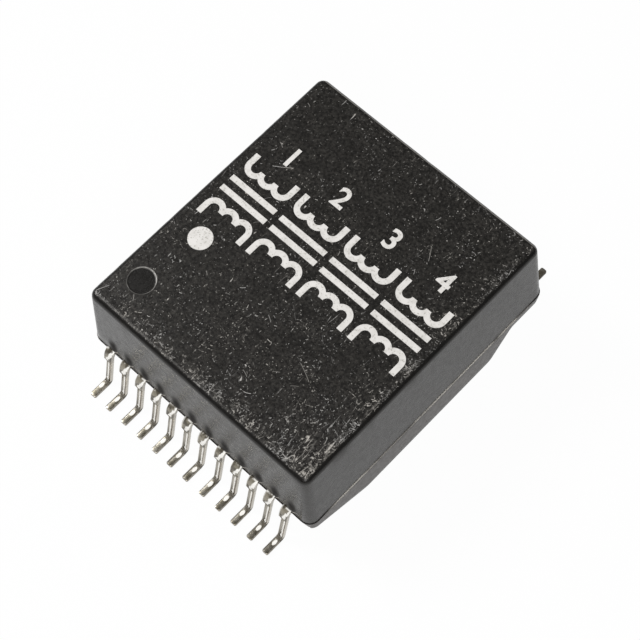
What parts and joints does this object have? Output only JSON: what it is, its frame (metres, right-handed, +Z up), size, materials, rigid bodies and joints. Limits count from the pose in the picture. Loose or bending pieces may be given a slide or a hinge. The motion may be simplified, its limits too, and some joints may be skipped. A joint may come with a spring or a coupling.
{
  "type": "pcb transformer module",
  "caption": "Surface-mount pulse transformer module: black moulded block on two rows of gull-wing leads, with toroidal transformers and chokes inside.",
  "frame": {"origin": "on the board plane, under the middle of the body", "axes": "+X along the lead rows, +Y from the row of pins 1 to 12 towards the row of pins 13 to 24, +Z up from the board"},
  "size_m": [0.0136, 0.0186, 0.0066],
  "materials": {
    "moulding": "black moulding compound, semi-gloss scuffed top and fine matt sides",
    "tinned_lead": "tin-plated copper alloy, bright with soft streaks",
    "ferrite_core": "dark coated ferrite",
    "magnet_wire": "enamelled copper wire",
    "white_ink": "matt white marking ink"
  },
  "bodies": {
    "root": {"moulded_body": "moulding", "lead_01": "tinned_lead", "lead_02": "tinned_lead", "lead_03": "tinned_lead", "lead_04": "tinned_lead", "lead_05": "tinned_lead", "lead_06": "tinned_lead", "lead_07": "tinned_lead", "lead_08": "tinned_lead", "lead_09": "tinned_lead", "lead_10": "tinned_lead", "lead_11": "tinned_lead", "lead_12": "tinned_lead", "lead_13": "tinned_lead", "lead_14": "tinned_lead", "lead_15": "tinned_lead", "lead_16": "tinned_lead", "lead_17": "tinned_lead", "lead_18": "tinned_lead", "lead_19": "tinned_lead", "lead_20": "tinned_lead", "lead_21": "tinned_lead", "lead_22": "tinned_lead", "lead_23": "tinned_lead", "lead_24": "tinned_lead", "transformer_core_1": "ferrite_core", "primary_winding_1": "magnet_wire", "secondary_winding_1": "magnet_wire", "choke_core_1": "ferrite_core", "choke_winding_left_1": "magnet_wire", "choke_winding_right_1": "magnet_wire", "transformer_core_2": "ferrite_core", "primary_winding_2": "magnet_wire", "secondary_winding_2": "magnet_wire", "choke_core_2": "ferrite_core", "choke_winding_left_2": "magnet_wire", "choke_winding_right_2": "magnet_wire", "transformer_core_3": "ferrite_core", "primary_winding_3": "magnet_wire", "secondary_winding_3": "magnet_wire", "choke_core_3": "ferrite_core", "choke_winding_left_3": "magnet_wire", "choke_winding_right_3": "magnet_wire", "transformer_core_4": "ferrite_core", "primary_winding_4": "magnet_wire", "secondary_winding_4": "magnet_wire", "choke_core_4": "ferrite_core", "choke_winding_left_4": "magnet_wire", "choke_winding_right_4": "magnet_wire", "pin_1_dot": "white_ink", "winding_symbols": "white_ink"}
  },
  "joints": []
}
